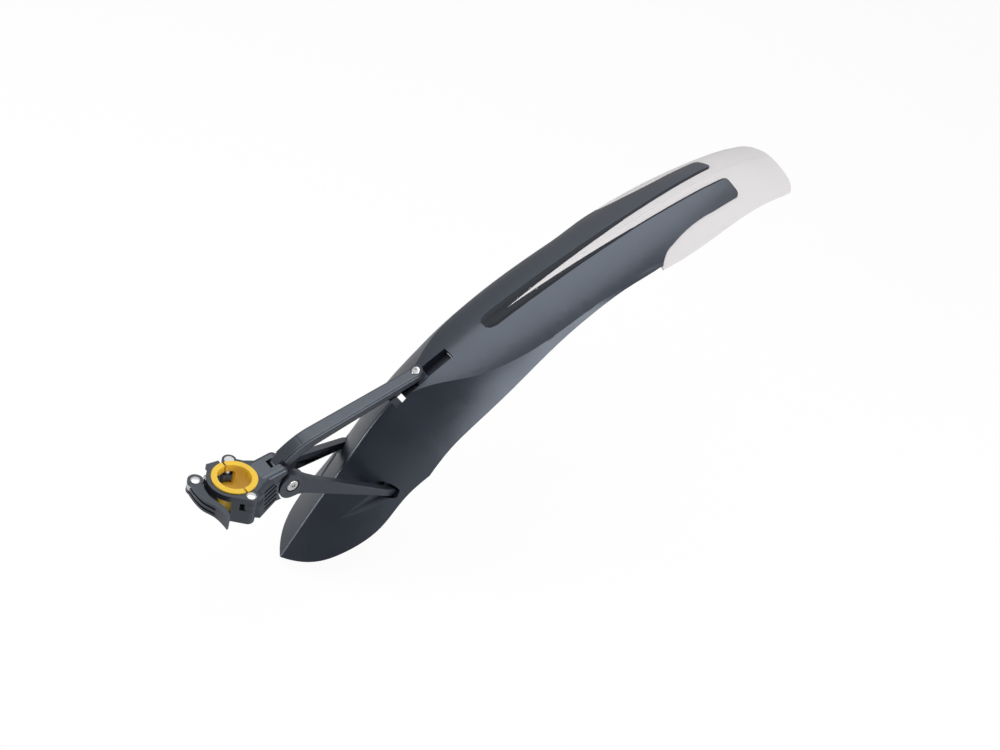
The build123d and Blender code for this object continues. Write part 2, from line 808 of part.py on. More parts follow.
def strut():
    end_half = strut_end_depth / 2
    side = polygon(
        (strut_pivot_x, strut_pivot_z + boss_radius), (strut_pivot_x + neck_top_x, strut_pivot_z + neck_top_z),
        (strut_end_x, strut_end_z + end_half), (strut_end_x, strut_end_z - end_half),
        (strut_pivot_x + neck_low_x, strut_pivot_z + neck_low_z), (strut_pivot_x, strut_pivot_z - boss_radius),
    )
    side += Pos(strut_pivot_x, strut_pivot_z) * Circle(boss_radius)
    side += Pos(strut_end_x, strut_end_z) * Circle(end_half)
    inner = tongue_half + play
    outer = inner + boss_width
    end_low = strut_end_y - strut_end_width / 2
    end_high = strut_end_y + strut_end_width / 2
    bend_x = strut_pivot_x + strut_bend
    straight_x = strut_end_x - strut_straight
    plan = plate(
        [(0, inner), (bend_x, inner), (straight_x, end_low), (2 * beyond, end_low),
         (2 * beyond, end_high), (straight_x, end_high), (bend_x, outer), (0, outer)],
        -beyond, beyond,
    )
    body = side_plate(side, 0, beyond) & plan
    body -= strut_pocket() & Pos(0, -strut_skin, 0) * plan
    body -= axle(screw_radius + fit, strut_pivot_x, strut_pivot_z, 0, beyond)
    body -= axle(head_radius + head_clear, strut_pivot_x, strut_pivot_z, outer - head_height - play, beyond)
    return body - axle(strut_pin_radius + pin_play, strut_end_x, strut_end_z, 0, end_high - strut_cap)


# Hollow inner side of the strut, crossed by upright webs
def strut_pocket():
    start_x = strut_pivot_x + pocket_front
    end_x = strut_end_x - pocket_rear
    cell = (end_x - start_x + strut_web) / strut_cells

    def rims(x):
        share = (x - strut_pivot_x) / (strut_end_x - strut_pivot_x)
        middle = strut_pivot_z + (strut_end_z - strut_pivot_z) * share + (neck_top_z + neck_low_z) / 3 * (1 - share)
        half = (strut_depth + (strut_end_depth - strut_depth) * share) / 2 - strut_rim
        return (x, middle - half), (x, middle + half)

    pockets = []
    for i in range(strut_cells):
        low_front, high_front = rims(start_x + i * cell)
        low_rear, high_rear = rims(start_x + (i + 1) * cell - strut_web)
        pockets.append(side_plate(polygon(low_front, low_rear, high_rear, high_front), 0, beyond))
    return Part() + pockets


def strut_screw():
    outer = tongue_half + play + boss_width
    head = axle(head_radius, strut_pivot_x, strut_pivot_z, outer - head_height, outer)
    return head + axle(screw_radius, strut_pivot_x, strut_pivot_z, screw_inner, outer - head_height)


def strut_pin():
    low = strut_end_y - strut_end_width / 2 - play - pocket_wall
    high = strut_end_y + strut_end_width / 2 - strut_cap - pin_play
    return axle(strut_pin_radius, strut_end_x, strut_end_z, low, high)


def band(start, finish, start_depth, finish_depth):
    normal = inward(start, finish)
    corners = [
        start - normal * (start_depth / 2), finish - normal * (finish_depth / 2),
        finish + normal * (finish_depth / 2), start + normal * (start_depth / 2),
    ]
    return polygon(*[(corner.X, corner.Y) for corner in corners])


def arm():
    seat = slide_plane.from_local_coords((0, 0, arm_end_lift))
    root = Vector(arm_pivot_x, arm_pivot_z)
    elbow = Vector(elbow_x, elbow_z)
    end = Vector(seat.X, seat.Z)
    wide_root = root + (elbow - root).normalized() * (cheek_radius + arm_root_gap)
    bar = band(wide_root, elbow, arm_root_depth, arm_root_depth)
    bar += band(elbow, end, arm_root_depth, arm_end_depth)
    bar += Pos(elbow.X, elbow.Y) * Circle(arm_root_depth / 2)
    bend_x = elbow_x + arm_straight
    side = [(0, arm_root_width / 2), (bend_x, arm_root_width / 2), (end.X, arm_end_width / 2)]
    plan = plate(side + [(x, -y) for x, y in reversed(side)], -beyond, 2 * beyond)
    body = side_plate(bar, -beyond, beyond) & plan
    body = fillet(body.edges().filter_by(lambda edge: edge.length > arm_root_width), arm_round)
    neck = band(root, elbow, 2 * knuckle_radius, 2 * knuckle_radius)
    neck += Pos(root.X, root.Y) * Circle(knuckle_radius)
    body += side_plate(neck, -knuckle_half, knuckle_half)
    foot = slot_crown + arm_seat_gap
    top = arm_end_lift + arm_end_depth / 2
    body += slide_drum(arm_end_width / 2, foot, top)
    body -= slide_drum(2 * arm_end_width, foot - beyond, foot) & slide_box(beyond, beyond, foot - arm_end_width, foot)
    body -= slide_drum(slide_bolt_radius + fit, -beyond, beyond)
    body -= slide_drum(slide_head_radius + play, top, top + arm_end_width)
    return body - axle(arm_pin_radius + fit, arm_pivot_x, arm_pivot_z, -beyond, beyond)


def arm_pin():
    return axle(arm_pin_radius, arm_pivot_x, arm_pivot_z, -tongue_half, deck_half)


def slide_shoe():
    under = rail_low - play
    body = slide_box(shoe_length, slot_width - 2 * play, under, slot_crown + arm_seat_gap)
    foot = slide_box(foot_front + foot_rear, slot_width + 2 * shoe_overlap, under - shoe_foot, under)
    body += Pos(slot_way * ((foot_rear - foot_front) / 2)) * foot
    return body - slide_drum(slide_bolt_radius + fit, -beyond, beyond)


def slide_screw():
    top = arm_end_lift + arm_end_depth / 2
    low = rail_low - play - shoe_foot - nut_height - bolt_stub
    return slide_drum(slide_head_radius, top, top + slide_head_height) + slide_drum(slide_bolt_radius, low, top)


def slide_nut():
    high = rail_low - play - shoe_foot
    hexagon = extrude(RegularPolygon(nut_width / 2, 6, major_radius=False), nut_height)
    return slide_plane * Pos(0, 0, high - nut_height) * hexagon - slide_drum(slide_bolt_radius, -beyond, beyond)


def left(shape):
    return mirror(shape, Plane.XZ)


nodes = {
    "guard_base": guard_base(),
    "guard_tail": guard_tail(),
    "bracket": bracket(),
    "clamp_jaw": clamp_jaw(),
    "shim_rear": shim(False),
    "shim_front": shim(True),
    "jaw_pin": jaw_pin(),
    "bolt_barrel": bolt_barrel(),
    "swing_bolt": swing_bolt(),
    "lever": lever(),
    "lever_pin": lever_pin(),
    "strut_left": left(strut()),
    "strut_right": strut(),
    "strut_screw_left": left(strut_screw()),
    "strut_screw_right": strut_screw(),
    "strut_pin_left": left(strut_pin()),
    "strut_pin_right": strut_pin(),
    "arm": arm(),
    "arm_pin": arm_pin(),
    "slide_shoe": slide_shoe(),
    "slide_screw": slide_screw(),
    "slide_nut": slide_nut(),
}

os.makedirs("parts", exist_ok=True)
for name, solid in nodes.items():
    export_step(solid, f"parts/{name}.step")
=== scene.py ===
import json
import math

import bpy
from mathutils import Matrix, Vector


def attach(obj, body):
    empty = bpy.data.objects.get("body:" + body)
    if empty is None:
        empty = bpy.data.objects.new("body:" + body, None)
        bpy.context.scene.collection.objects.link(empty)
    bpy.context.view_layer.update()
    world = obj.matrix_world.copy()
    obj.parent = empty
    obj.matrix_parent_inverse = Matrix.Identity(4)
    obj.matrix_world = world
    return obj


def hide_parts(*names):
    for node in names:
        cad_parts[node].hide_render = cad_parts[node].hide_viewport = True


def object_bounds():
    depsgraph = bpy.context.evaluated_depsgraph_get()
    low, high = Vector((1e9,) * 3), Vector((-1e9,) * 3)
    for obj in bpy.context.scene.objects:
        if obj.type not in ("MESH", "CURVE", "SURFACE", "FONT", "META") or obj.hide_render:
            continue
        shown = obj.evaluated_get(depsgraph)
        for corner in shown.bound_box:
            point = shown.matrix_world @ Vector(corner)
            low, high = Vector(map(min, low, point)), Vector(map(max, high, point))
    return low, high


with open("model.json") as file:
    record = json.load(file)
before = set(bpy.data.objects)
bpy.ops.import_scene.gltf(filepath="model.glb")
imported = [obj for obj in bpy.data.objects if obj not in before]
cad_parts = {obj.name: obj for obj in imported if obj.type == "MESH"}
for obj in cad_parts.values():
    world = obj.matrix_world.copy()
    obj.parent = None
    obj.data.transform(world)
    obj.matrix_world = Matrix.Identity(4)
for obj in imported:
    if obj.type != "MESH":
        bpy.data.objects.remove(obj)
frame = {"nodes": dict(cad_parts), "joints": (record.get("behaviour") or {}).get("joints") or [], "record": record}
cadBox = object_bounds()
bpy.ops.object.select_all(action="DESELECT")
scene = bpy.context.scene
scene.view_settings.view_transform = "Standard"
print("frame loaded")

middleLine = 2e-5  # points nearer to y = 0 than this lie on the middle line, in metres
flatEnd = 1e-5  # points this near to a rod's last point lie on its flat end
facesUp = 0.3  # least z of a normal that looks up
facesAlong = 0.9  # least cosine of a face that looks along a rod's axis


# shader maths: a socket with operators, and a node tree that adds nodes
class Wire:
    def __init__(self, tree, socket):
        self.tree = tree
        self.socket = socket

    def maths(self, operation, first, second):
        return self.tree.add("ShaderNodeMath", {"operation": operation}, {0: first, 1: second})

    def other(self, name):  # another output of the same node
        return Wire(self.tree, self.socket.node.outputs[name])

    def __add__(self, other):
        return self.maths("ADD", self, other)

    def __radd__(self, other):
        return self.maths("ADD", other, self)

    def __sub__(self, other):
        return self.maths("SUBTRACT", self, other)

    def __rsub__(self, other):
        return self.maths("SUBTRACT", other, self)

    def __mul__(self, other):
        return self.maths("MULTIPLY", self, other)

    def __rmul__(self, other):
        return self.maths("MULTIPLY", other, self)

    def __or__(self, other):  # the larger of two masks
        return self.maths("MAXIMUM", self, other)


class Tree:
    def __init__(self, owner):
        owner.use_nodes = True
        self.tree = owner.node_tree
        self.tree.nodes.clear()

    def add(self, kind, settings=None, inputs=None, output=0):
        node = self.tree.nodes.new(kind)
        for name, value in (settings or {}).items():
            setattr(node, name, value)
        for name, value in (inputs or {}).items():
            if isinstance(value, Wire):
                self.tree.links.new(value.socket, node.inputs[name])
            else:
                node.inputs[name].default_value = value
        return Wire(self, node.outputs[output]) if len(node.outputs) else None


def grey(value):
    return (value, value, value, 1)


def shade(colour, factor):
    return tuple(channel * factor for channel in colour) + (1,)


def noiseOn(tree, place, scale, detail=3.0, roughness=0.55):
    inputs = {"Vector": place, "Scale": scale, "Detail": detail, "Roughness": roughness}
    return tree.add("ShaderNodeTexNoise", None, inputs)


def spread(tree, value, low, high, toLow, toHigh):
    return tree.add("ShaderNodeMapRange", None, {0: value, 1: low, 2: high, 3: toLow, 4: toHigh})


def blendColour(tree, factor, first, second):  # sockets 6, 7 and output 2 are the colour ones
    return tree.add("ShaderNodeMix", {"data_type": "RGBA"}, {0: factor, 6: first, 7: second}, 2)


# where the noise of every finish is cut off, and how much rougher a scuff is
pattern = {"toneFrom": 0.3, "toneTo": 0.7, "scuffFrom": 0.66, "scuffTo": 0.78, "scuffRough": 0.2}


def toneOn(tree, place, scale):
    return spread(tree, noiseOn(tree, place, scale), pattern["toneFrom"], pattern["toneTo"], 0, 1)


# moulded plastic: a soft change of tone, an eroded grain, rub marks and a few pale scuffs
def mouldedPlastic(name, look):
    material = bpy.data.materials.new(name)
    tree = Tree(material)
    place = tree.add("ShaderNodeTexCoord", output="Object")
    tone = toneOn(tree, place, look["cloudScale"])
    grain = noiseOn(tree, place, look["grainScale"], detail=2.0)
    rub = noiseOn(tree, place, look["rubScale"], detail=4.0, roughness=0.65)
    stretch = tree.add("ShaderNodeMapping", None, {"Vector": place, "Scale": look["scuffStretch"]})
    marks = noiseOn(tree, stretch, look["scuffScale"], detail=5.0, roughness=0.7)
    scuff = spread(tree, marks, pattern["scuffFrom"], pattern["scuffTo"], 0, look["scuff"])
    dark = shade(look["colour"], 1 - look["toneShift"])
    light = shade(look["colour"], 1 + look["toneShift"])
    colour = blendColour(tree, scuff, blendColour(tree, tone, dark, light), look["scuffColour"] + (1,))
    unevenness = (rub - 0.5) * look["roughShift"] + (grain - 0.5) * look["grainShift"]
    rough = look["rough"] + unevenness + scuff * pattern["scuffRough"]
    bump = tree.add("ShaderNodeBump", None, {
        "Strength": look["grainStrength"], "Distance": look["grainDepth"], "Height": grain,
    })
    skin = tree.add("ShaderNodeBsdfPrincipled", None, {
        "Base Color": colour, "Roughness": rough, "Normal": bump, "Specular IOR Level": look["specular"],
        "Specular Tint": look["sheen"] + (1,),
        "Subsurface Weight": look["scatter"], "Subsurface Radius": (1.0, 1.0, 1.0),
        "Subsurface Scale": look["scatterDepth"],
    })
    tree.add("ShaderNodeOutputMaterial", None, {"Surface": skin})
    return material


# bright steel with fine lathe scratches and a slightly uneven polish
def turnedSteel(name, look):
    material = bpy.data.materials.new(name)
    tree = Tree(material)
    place = tree.add("ShaderNodeTexCoord", output="Object")
    tone = toneOn(tree, place, look["cloudScale"])
    scratch = noiseOn(tree, place, look["scratchScale"], detail=5.0, roughness=0.7)
    dark, light = (shade(look["colour"], factor) for factor in look["toneFactors"])
    colour = blendColour(tree, tone, dark, light)
    rough = look["rough"] + (scratch - 0.5) * look["roughShift"]
    bump = tree.add("ShaderNodeBump", None, {
        "Strength": look["scratchStrength"], "Distance": look["scratchDepth"], "Height": scratch,
    })
    skin = tree.add("ShaderNodeBsdfPrincipled", None, {
        "Base Color": colour, "Metallic": 1.0, "Roughness": rough, "Normal": bump,
    })
    tree.add("ShaderNodeOutputMaterial", None, {"Surface": skin})
    return material


bladeLook = {
    "colour": (0.0125, 0.0150, 0.0235), "toneShift": 0.12, "cloudScale": 14.0,
    "rough": 0.36, "roughShift": 0.10, "rubScale": 60.0,
    "grainShift": 0.10, "grainScale": 2600.0, "grainStrength": 0.10, "grainDepth": 0.00010,
    "scuffStretch": (4.0, 1.0, 4.0), "scuffScale": 60.0, "scuff": 0.06, "scuffColour": (0.06, 0.065, 0.08),
    "specular": 0.9, "sheen": (0.78, 0.87, 1.0), "scatter": 0.0, "scatterDepth": 0.001,
}
tailLook = {
    "colour": (0.70, 0.678, 0.69), "toneShift": 0.015, "cloudScale": 10.0,
    "rough": 0.40, "roughShift": 0.10, "rubScale": 70.0,
    "grainShift": 0.06, "grainScale": 1800.0, "grainStrength": 0.05, "grainDepth": 0.0001,
    "scuffStretch": (3.0, 1.0, 3.0), "scuffScale": 50.0, "scuff": 0.06, "scuffColour": (0.62, 0.60, 0.62),
    "specular": 0.45, "sheen": (1.0, 1.0, 1.0), "scatter": 0.25, "scatterDepth": 0.002,
}
frameLook = {
    "colour": (0.014, 0.0158, 0.022), "toneShift": 0.15, "cloudScale": 40.0,
    "rough": 0.33, "roughShift": 0.14, "rubScale": 140.0,
    "grainShift": 0.14, "grainScale": 2200.0, "grainStrength": 0.16, "grainDepth": 0.00012,
    "scuffStretch": (2.0, 1.0, 2.0), "scuffScale": 160.0, "scuff": 0.10, "scuffColour": (0.07, 0.075, 0.085),
    "specular": 0.9, "sheen": (0.78, 0.87, 1.0), "scatter": 0.0, "scatterDepth": 0.001,
}
shimLook = {
    "colour": (0.93, 0.60, 0.045), "toneShift": 0.05, "cloudScale": 50.0,
    "rough": 0.34, "roughShift": 0.10, "rubScale": 160.0,
    "grainShift": 0.06, "grainScale": 2400.0, "grainStrength": 0.06, "grainDepth": 0.0001,
    "scuffStretch": (1.0, 1.0, 3.0), "scuffScale": 120.0, "scuff": 0.08, "scuffColour": (0.75, 0.42, 0.03),
    "specular": 0.5, "sheen": (1.0, 1.0, 1.0), "scatter": 0.15, "scatterDepth": 0.001,
}
channelGrainAndShadeLook = {  # the channel bed round the tail's tongue: its rougher grain is its own, its extra darkness is painted shade for the recess
    "colour": (0.0050, 0.0056, 0.0080), "toneShift": 0.2, "cloudScale": 60.0,
    "rough": 0.55, "roughShift": 0.10, "rubScale": 200.0,
    "grainShift": 0.20, "grainScale": 1500.0, "grainStrength": 0.4, "grainDepth": 0.0002,
    "scuffStretch": (0.3, 6.0, 0.3), "scuffScale": 300.0, "scuff": 0.25, "scuffColour": (0.03, 0.033, 0.04),
    "specular": 0.35, "sheen": (0.80, 0.88, 1.0), "scatter": 0.0, "scatterDepth": 0.001,
}
steelLook = {
    "colour": (0.70, 0.70, 0.71), "toneFactors": (0.88, 1.06), "cloudScale": 90.0, "rough": 0.22, "roughShift": 0.14,
    "scratchScale": 900.0, "scratchStrength": 0.12, "scratchDepth": 0.00004,
}

# the channel finish is darker than the blade: painted shade standing in for the recess, over a rougher grain of its
# own
channelGrainAndShadeFinish = mouldedPlastic("dullChannelWithPaintedShade", channelGrainAndShadeLook)
finishes = {
    "blade_plastic": mouldedPlastic("satinBlackBlade", bladeLook),
    "tail_plastic": mouldedPlastic("frostedTail", tailLook),
    "frame_plastic": mouldedPlastic("grainedBlackFrame", frameLook),
    "shim_plastic": mouldedPlastic("yellowShim", shimLook),
    "steel": turnedSteel("brightSteel", steelLook),
}
print("finishes made")

slotOf = {entry["node"]: entry["material_slot"] for entry in frame["record"]["subparts"]}
bodies = frame["record"]["behaviour"]["bodies"]
bodyOf = {nodeName: body for body, names in bodies.items() for nodeName in names}
for nodeName, node in frame["nodes"].items():
    node.data.materials.clear()
    node.data.materials.append(finishes[slotOf[nodeName]])
print("CAD nodes dressed")


def activate(piece):
    bpy.ops.object.select_all(action="DESELECT")
    piece.select_set(True)
    bpy.context.view_layer.objects.active = piece


def applyModifier(piece, kind, settings):
    modifier = piece.modifiers.new(kind.lower(), kind)
    for name, value in settings.items():
        setattr(modifier, name, value)
    activate(piece)
    bpy.ops.object.modifier_apply(modifier=modifier.name)


# edit mode with only the points, edges or faces selected that pass a test
def editPicked(piece, kind, test):
    activate(piece)
    groups = {"points": piece.data.vertices, "edges": piece.data.edges, "faces": piece.data.polygons}
    bpy.context.tool_settings.mesh_select_mode = tuple(name == kind for name in groups)
    for group in groups.values():
        for item in group:
            item.select = False
    for item in groups[kind]:
        item.select = test(item)
    bpy.ops.object.mode_set(mode="EDIT")


def leaveEdit():
    bpy.ops.object.mode_set(mode="OBJECT")


def smoothByAngle(piece, angle):
    activate(piece)
    bpy.ops.object.shade_smooth_by_angle(angle=math.radians(angle))


def roundEdges(piece, width, angle, rounds):
    applyModifier(piece, "BEVEL", {
        "width": width, "segments": rounds, "limit_method": "ANGLE", "angle_limit": math.radians(angle),
        "use_clamp_overlap": True, "miter_outer": "MITER_ARC",
    })


# the normals of the faces on both sides of each edge
def normalsAtEdges(piece):
    normalsAt = {}
    for face in piece.data.polygons:
        for key in face.edge_keys:
            normalsAt.setdefault(key, []).append(face.normal)
    return normalsAt


def endsOf(piece, edge):
    return [piece.data.vertices[index].co for index in edge.vertices]


def turnOf(normals):  # in degrees
    return math.degrees(normals[0].angle(normals[1], 0)) if len(normals) == 2 else 0


# seams between CAD faces stay crisp only where the skin really turns
def softenSeams(piece, angle):
    normalsAt = normalsAtEdges(piece)
    least = math.cos(math.radians(angle))
    for edge in piece.data.edges:
        normals = normalsAt[edge.key]
        if edge.use_edge_sharp and len(normals) == 2 and normals[0].dot(normals[1]) > least:
            edge.use_edge_sharp = False


# edges picked by their place, length and turn, rounded wider than the rest
def roundPicked(piece, width, rounds, test):
    normalsAt = normalsAtEdges(piece)
    editPicked(piece, "edges", lambda edge: test(*endsOf(piece, edge), normalsAt[edge.key]))
    bpy.ops.mesh.bevel(offset=width, segments=rounds, affect="EDGES", clamp_overlap=True)
    leaveEdit()


def dress(piece, nodeName):
    piece.data.materials.clear()
    piece.data.materials.append(finishes[slotOf[nodeName]])
    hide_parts(nodeName)
    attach(piece, bodyOf[nodeName])


# a merged copy of a CAD piece, with the small edge rounds that a mould or a lathe leaves
def roundedCopy(pieceName, look):
    piece = bpy.data.objects.new(pieceName, frame["nodes"][look["node"]].data.copy())
    scene.collection.objects.link(piece)
    activate(piece)
    bpy.ops.mesh.customdata_custom_splitnormals_clear()
    bpy.context.tool_settings.mesh_select_mode = (False, True, False)
    bpy.ops.object.mode_set(mode="EDIT")
    bpy.ops.mesh.select_all(action="DESELECT")
    bpy.ops.mesh.select_non_manifold(
        extend=False, use_wire=False, use_boundary=True,
        use_multi_face=False, use_non_contiguous=False, use_verts=False,
    )
    bpy.ops.mesh.mark_sharp()  # the open borders of each CAD face
    bpy.ops.mesh.select_all(action="SELECT")
    bpy.ops.mesh.remove_doubles(threshold=look["merge"])
    bpy.ops.mesh.dissolve_limited(angle_limit=math.radians(look["flat"]), delimit={"NORMAL", "SHARP"})
    leaveEdit()
    bpy.ops.object.shade_smooth(keep_sharp_edges=True)
    softenSeams(piece, look["crease"])
    if "shape" in look:
        look["shape"](piece, look)
    roundEdges(piece, look["edge"], look["sharp"], look["rounds"])
    applyModifier(piece, "WEIGHTED_NORMAL", {"keep_sharp": True})
    dress(piece, look["node"])
    return piece


# the blade: a soft line down the nose ridge
def shapeBlade(piece, look):
    leastTurn, mostTurn = look["ridgeTurn"]

    def onRidge(first, second, normals):
        middle = (first + second) / 2
        inLine = abs(middle.y) < middleLine and middle.x < look["ridgeEnd"]
        return inLine and leastTurn < turnOf(normals) < mostTurn and normals[0].z > 0
    roundPicked(piece, look["ridgeRound"], look["ridgeRounds"], onRidge)
    for edge in piece.data.edges:  # behind the slot the ridge runs out into the crown
        if all(abs(spot.y) < middleLine and spot.x > look["ridgeEnd"] for spot in endsOf(piece, edge)):
            edge.use_edge_sharp = False


# a duller floor in the channel, darkened with painted shade for the recess, between lips that are given as places
# along x and half widths
def paintShadeOnChannelFloor(piece, look):
    # the second finish paints shade into the channel floor
    piece.data.materials.append(channelGrainAndShadeFinish)
    lips = look["lips"]
    for face in piece.data.polygons:
        spot = face.center
        for (fromX, fromHalf), (toX, toHalf) in zip(lips, lips[1:]):
            lip = fromHalf + (toHalf - fromHalf) * (spot.x - fromX) / (toX - fromX)
            if fromX <= spot.x < toX and abs(spot.y) < lip and face.normal.z > facesUp:
                face.material_index = 1


bladeShell = {
    "node": "guard_base", "merge": 2e-6, "flat": 0.1, "crease": 6.5, "edge": 0.0006, "sharp": 22, "rounds": 2,
    "shape": shapeBlade, "ridgeEnd": 0.146, "ridgeTurn": (25, 60), "ridgeRound": 0.0045, "ridgeRounds": 4,
    "lips": [(0.2275, 0.0036), (0.2303, 0.0068), (0.2355, 0.0084), (0.370, 0.0090), (0.482, 0.0107)],
}
paintShadeOnChannelFloor(roundedCopy("bladeShell", bladeShell), bladeShell)


# the tail sheet: a blunter tongue and a scored line along its ridge
def shapeTail(piece, look):
    reach = look["tongueEnd"] - min(vertex.co.x for vertex in piece.data.vertices)
    for vertex in piece.data.vertices:
        share = (look["tongueEnd"] - vertex.co.x) / reach
        if share > 0 and abs(vertex.co.y) > middleLine:
            vertex.co.y += math.copysign(look["tongueWiden"] * share, vertex.co.y)

    def onRidge(first, second, normals):
        inLine = abs(first.y) + abs(second.y) < 2 * middleLine and min(first.x, second.x) > look["scoreFrom"]
        return inLine and len(normals) == 2 and min(normal.z for normal in normals) > facesUp
    roundPicked(piece, look["scoreHalf"], look["scoreRounds"], onRidge)

    def inScore(vertex):
        fullDepth = vertex.co.x > look["scoreFrom"] + look["scoreRunIn"]
        return fullDepth and abs(vertex.co.y) < middleLine and vertex.normal.z > facesUp
    editPicked(piece, "points", inScore)
    bpy.ops.transform.translate(value=(0, 0, -look["scoreDepth"]))
    leaveEdit()


tailSheet = {
    "node": "guard_tail", "merge": 6e-5, "flat": 0.1, "crease": 3.5, "edge": 0.0005, "sharp": 30, "rounds": 2,
    "shape": shapeTail, "tongueEnd": 0.345, "tongueWiden": 0.0015,
    "scoreFrom": 0.30, "scoreRunIn": 0.004, "scoreHalf": 0.0008, "scoreRounds": 2, "scoreDepth": 0.0004,
}
roundedCopy("tailSheet", tailSheet)
print("blade and tail shaped")


# the arm: its mitred elbow is cut across and turned into a bend
def shapeArm(piece, look):
    across = Vector(look["elbowNormal"]).normalized()
    inward = Vector((0, 1, 0)).cross(across)  # along the mitre, towards the inside of the bend
    reach, slope = look["bendReach"], math.tan(math.radians(look["elbowTurn"] / 2))
    activate(piece)
    bpy.ops.object.mode_set(mode="EDIT")
    for cut in range(-look["bendCuts"], look["bendCuts"] + 1):
        place = across * (look["elbowAt"] + reach * cut / look["bendCuts"])
        bpy.ops.mesh.select_all(action="SELECT")
        bpy.ops.mesh.bisect(plane_co=place, plane_no=across)
    leaveEdit()
    for vertex in piece.data.vertices:
        away = abs(across.dot(vertex.co) - look["elbowAt"])
        if away < reach:
            vertex.co += inward * slope * ((away ** 2 + reach ** 2) / (2 * reach) - away)
    for edge in piece.data.edges:
        first, second = endsOf(piece, edge)
        nearElbow = max(abs(across.dot(spot) - look["elbowAt"]) for spot in (first, second)) < reach
        if nearElbow and abs(across.dot(first - second)) < look["roundBend"] * (first - second).length:
            edge.use_edge_sharp = False  # edges that run round the bend


# struts: their long edges are rounded into an almost round section
def shapeBar(piece, look):
    def isLong(first, second, normals):
        return (first - second).length > look["longEdge"] and turnOf(normals) > look["barTurn"]
    roundPicked(piece, look["barRound"], look["barRounds"], isLong)


moulding = {"merge": 2e-6, "flat": 0.3, "crease": 12, "sharp": 30, "rounds": 3}
bracketBody = {**moulding, "node": "bracket", "edge": 0.0007}
roundedCopy("bracketBody", bracketBody)
jawBody = {**moulding, "node": "clamp_jaw", "edge": 0.0006}
roundedCopy("jawBody", jawBody)
leverBody = {**moulding, "node": "lever", "edge": 0.0006}
roundedCopy("leverBody", leverBody)
armBar = {
    **moulding, "node": "arm", "edge": 0.0006, "shape": shapeArm,
    "elbowNormal": (0.8508, 0, 0.5255), "elbowAt": 0.0645, "elbowTurn": 22.3,
    "bendReach": 0.013, "bendCuts": 5, "roundBend": 0.5,
}
roundedCopy("armBar", armBar)
strutBar = {
    **moulding, "edge": 0.0006, "shape": shapeBar,
    "longEdge": 0.020, "barTurn": 40, "barRound": 0.0022, "barRounds": 5,
}
roundedCopy("strutLeft", {**strutBar, "node": "strut_left"})
roundedCopy("strutRight", {**strutBar, "node": "strut_right"})
shimCup = {**moulding, "edge": 0.0004, "rounds": 2}
roundedCopy("shimRearCup", {**shimCup, "node": "shim_rear"})
roundedCopy("shimFrontCup", {**shimCup, "node": "shim_front"})
slideFoot = {**moulding, "node": "slide_shoe", "edge": 0.0004, "rounds": 2}
roundedCopy("slideFoot", slideFoot)
barrelRod = {**moulding, "node": "bolt_barrel", "edge": 0.0006}
roundedCopy("barrelRod", barrelRod)
clampBolt = {**moulding, "node": "swing_bolt", "edge": 0.0003, "rounds": 2}
roundedCopy("clampBolt", clampBolt)
slideNut = {**moulding, "node": "slide_nut", "edge": 0.0004, "rounds": 2}
roundedCopy("slideNut", slideNut)
print("mouldings rounded")


# the flat end of a CAD rod that faces along an axis: its middle, its radius and the rod's length
def rodEnd(nodeName, axis):
    spots = [vertex.co for vertex in frame["nodes"][nodeName].data.vertices]
    reach = [axis.dot(spot) for spot in spots]
    rim = [spot for spot, far in zip(spots, reach) if far > max(reach) - flatEnd]
    middle = Vector([(min(s[i] for s in rim) + max(s[i] for s in rim)) / 2 for i in range(3)])
    return middle, max((spot - middle).length for spot in rim), max(reach) - min(reach)


def addRod(name, middle, axis, radius, depth, sides):
    bpy.ops.object.select_all(action="DESELECT")
    turn = axis.to_track_quat("Z", "Y").to_euler()
    bpy.ops.mesh.primitive_cylinder_add(
        vertices=sides, radius=radius, depth=depth, location=middle, rotation=turn,
    )
    rod = bpy.context.object
    rod.name = name
    bpy.ops.object.transform_apply(location=True, rotation=True, scale=True)
    return rod


# a riveted pin: both ends stand up a little inside a turned rim
def pinRod(pieceName, look):
    axis = Vector(look["axis"])
    middle, radius, length = rodEnd(look["node"], axis)
    pin = addRod(pieceName, middle - axis * length / 2, axis, radius, length, look["sides"])
    editPicked(pin, "faces", lambda face: abs(face.normal.dot(axis)) > facesAlong)
    for rise in (look["crown"], look["crown"] / 2):
        bpy.ops.mesh.inset(thickness=radius * look["rim"], depth=rise, use_individual=True)
    leaveEdit()
    smoothByAngle(pin, look["smooth"])
    dress(pin, look["node"])


jawPin = {"node": "jaw_pin", "axis": (0, 0, 1), "sides": 64, "rim": 0.22, "crown": 0.0005, "smooth": 35}
pinRod("jawPin", jawPin)
leverPin = {"node": "lever_pin", "axis": (0, 0, 1), "sides": 64, "rim": 0.22, "crown": 0.0005, "smooth": 35}
pinRod("leverPin", leverPin)
armPin = {"node": "arm_pin", "axis": (0, 1, 0), "sides": 48, "rim": 0.22, "crown": 0.0002, "smooth": 35}
pinRod("armPin", armPin)


